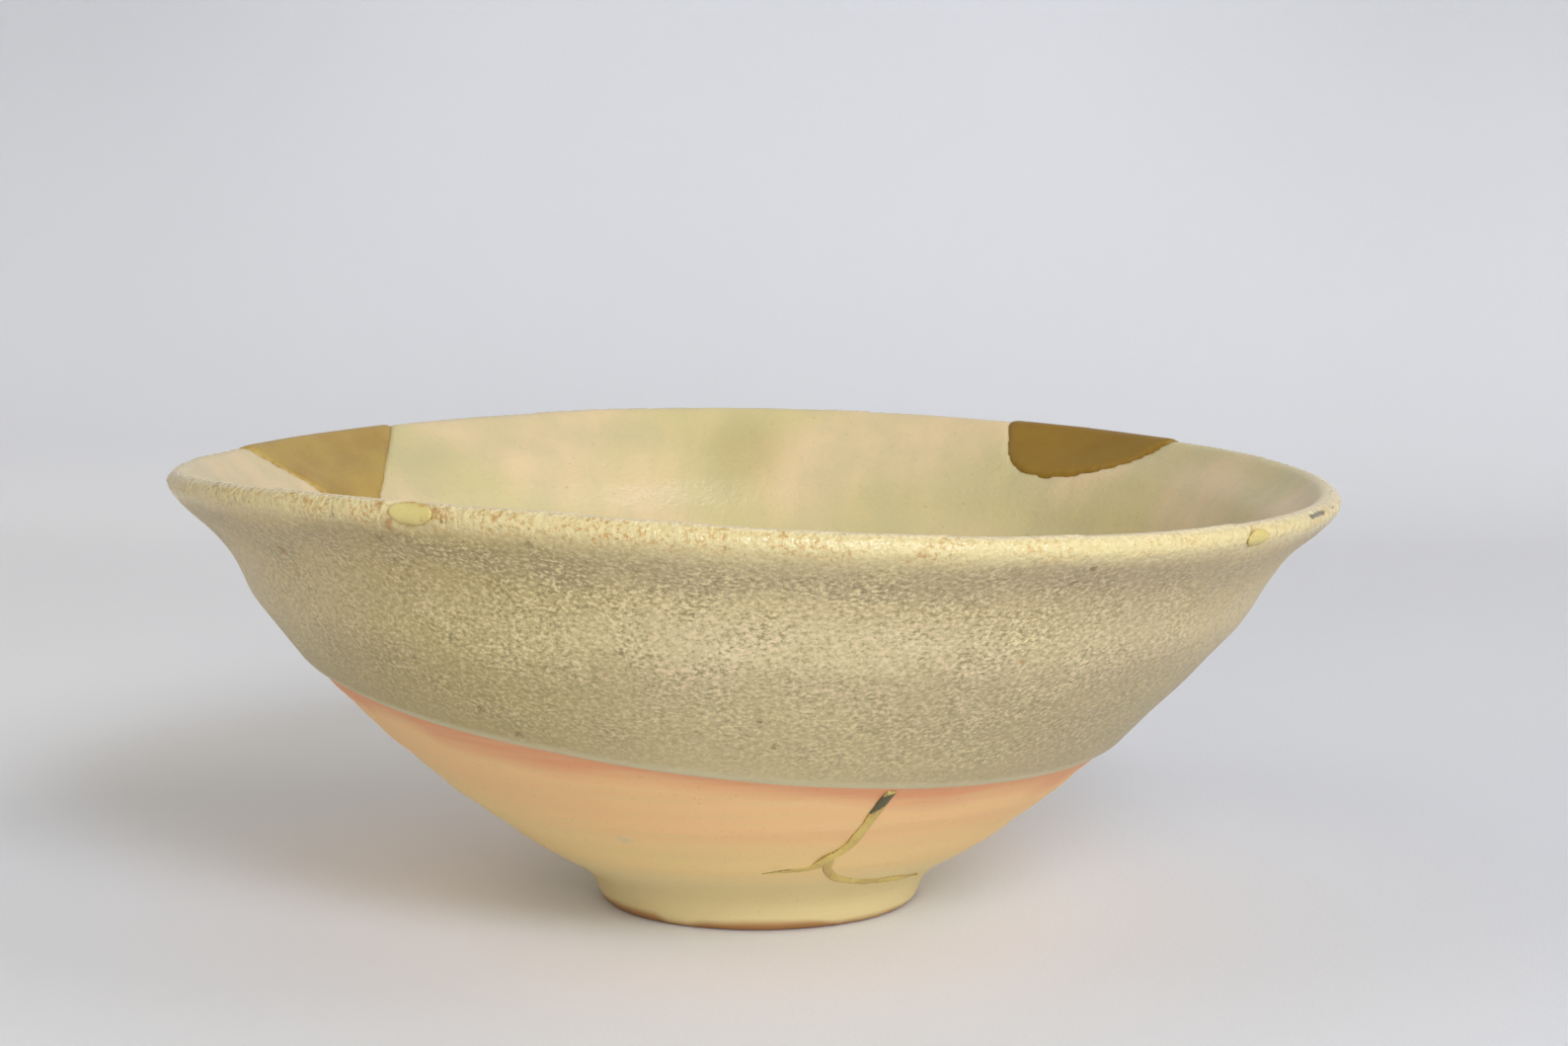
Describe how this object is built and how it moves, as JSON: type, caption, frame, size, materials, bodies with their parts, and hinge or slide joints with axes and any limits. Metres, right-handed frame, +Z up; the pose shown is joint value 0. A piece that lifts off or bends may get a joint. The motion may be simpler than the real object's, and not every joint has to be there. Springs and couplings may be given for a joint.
{
  "type": "cracked bowl",
  "caption": "Shallow flared stoneware bowl on a small turned foot, part glazed, with a cracked wall and chipped rim mended in gold lacquer; holds food or tea.",
  "frame": {"origin": "centre of the bowl's outline, on the surface that the foot stands on", "axes": "+Z up through the mouth; the side with the forked crack faces -Y and the two large rim fills are at +Y"},
  "size_m": [0.153, 0.1488, 0.0604],
  "materials": {
    "glazed_stoneware": "satin",
    "dark_gold_lacquer": "satin",
    "pale_gold_lacquer": "satin",
    "seam_gold_lacquer": "satin"
  },
  "bodies": {
    "root": {"stoneware_bowl": "glazed_stoneware", "left_rim_fill": "dark_gold_lacquer", "right_rim_fill": "dark_gold_lacquer", "front_chip_fill": "pale_gold_lacquer", "small_chip_fill": "pale_gold_lacquer", "crack_seam": "seam_gold_lacquer"}
  },
  "joints": []
}
